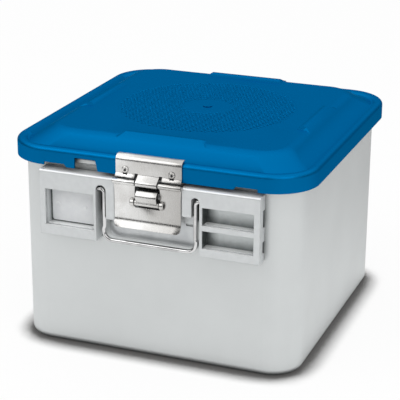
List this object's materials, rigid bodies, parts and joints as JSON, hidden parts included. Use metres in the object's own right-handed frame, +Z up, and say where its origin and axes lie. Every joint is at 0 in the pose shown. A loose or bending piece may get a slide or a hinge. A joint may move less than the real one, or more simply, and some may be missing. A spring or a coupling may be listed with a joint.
{
  "type": "sterilization container",
  "caption": "Rigid surgical instrument container: drawn tub, vented lid with draw latches front and rear, carrying bails, label frames and a held filter.",
  "frame": {"origin": "middle of the tub's floor, on the surface that it stands on", "axes": "+Z up, -Y towards the front with the label frames, +X to the right seen from the front"},
  "size_m": [0.3004, 0.3252, 0.215],
  "materials": {
    "satin_aluminium": "satin anodised",
    "blue_aluminium": "satin blue anodised",
    "grey_moulding": "satin moulded",
    "stainless_steel": "brushed",
    "bright_wire": "polished wire",
    "rivet_metal": "smooth",
    "silicone": "matte",
    "filter_paper": "fibrous",
    "knob_plastic": "matte"
  },
  "bodies": {
    "container": {"container_tub": "satin_aluminium", "left_label_frame": "grey_moulding", "right_label_frame": "grey_moulding", "left_frame_rivets": "rivet_metal", "right_frame_rivets": "rivet_metal", "rear_right_bail_bracket": "grey_moulding", "rear_left_bail_bracket": "grey_moulding", "rear_bail_bracket_rivets": "rivet_metal", "front_backing_plate": "stainless_steel", "rear_backing_plate": "stainless_steel", "front_strike": "stainless_steel", "rear_strike": "stainless_steel", "front_strike_rivets": "rivet_metal", "rear_strike_rivets": "rivet_metal"},
    "lid": {"lid_pan": "blue_aluminium", "lid_gasket": "silicone", "centre_stud": "stainless_steel", "front_latch_bracket": "stainless_steel", "rear_latch_bracket": "stainless_steel", "front_latch_rivets": "rivet_metal", "rear_latch_rivets": "rivet_metal", "front_hinge_pin": "stainless_steel", "rear_hinge_pin": "stainless_steel"},
    "front_latch": {"front_latch_plate": "stainless_steel", "front_claw_pin": "stainless_steel"},
    "front_claw": {"front_claw": "stainless_steel"},
    "rear_latch": {"rear_latch_plate": "stainless_steel", "rear_claw_pin": "stainless_steel"},
    "rear_claw": {"rear_claw": "stainless_steel"},
    "front_bail": {"front_bail": "bright_wire"},
    "rear_bail": {"rear_bail": "bright_wire"},
    "filter_retainer": {"filter_retainer": "satin_aluminium", "filter_disc": "filter_paper", "retainer_seal": "silicone"},
    "retainer_knob": {"retainer_knob": "knob_plastic"}
  },
  "joints": [
    {"name": "lid_lift", "type": "slide", "parent": "container", "child": "lid", "axis": [0, 0, 1], "range_m": [0, 0.15]},
    {"name": "front_latch_swing", "type": "hinge", "parent": "lid", "child": "front_latch", "pos_m": [0, -0.1582, 0.181], "axis": [-1, 0, 0], "range_deg": [0, 135]},
    {"name": "front_claw_swing", "type": "hinge", "parent": "front_latch", "child": "front_claw", "pos_m": [0, -0.1572, 0.162], "axis": [-1, 0, 0], "range_deg": [-70, 0]},
    {"name": "rear_latch_swing", "type": "hinge", "parent": "lid", "child": "rear_latch", "pos_m": [0, 0.1582, 0.181], "axis": [1, 0, 0], "range_deg": [0, 135]},
    {"name": "rear_claw_swing", "type": "hinge", "parent": "rear_latch", "child": "rear_claw", "pos_m": [0, 0.1572, 0.162], "axis": [1, 0, 0], "range_deg": [-70, 0]},
    {"name": "front_bail_swing", "type": "hinge", "parent": "container", "child": "front_bail", "pos_m": [0, -0.152, 0.169], "axis": [-1, 0, 0], "range_deg": [0, 90]},
    {"name": "rear_bail_swing", "type": "hinge", "parent": "container", "child": "rear_bail", "pos_m": [0, 0.152, 0.169], "axis": [1, 0, 0], "range_deg": [0, 90]},
    {"name": "filter_retainer_drop", "type": "slide", "parent": "lid", "child": "filter_retainer", "axis": [0, 0, -1], "range_m": [0, 0.03]},
    {"name": "retainer_knob_turn", "type": "hinge", "parent": "filter_retainer", "child": "retainer_knob", "pos_m": [0, 0, 0.2046], "axis": [0, 0, 1], "range_deg": [0, 90]}
  ]
}
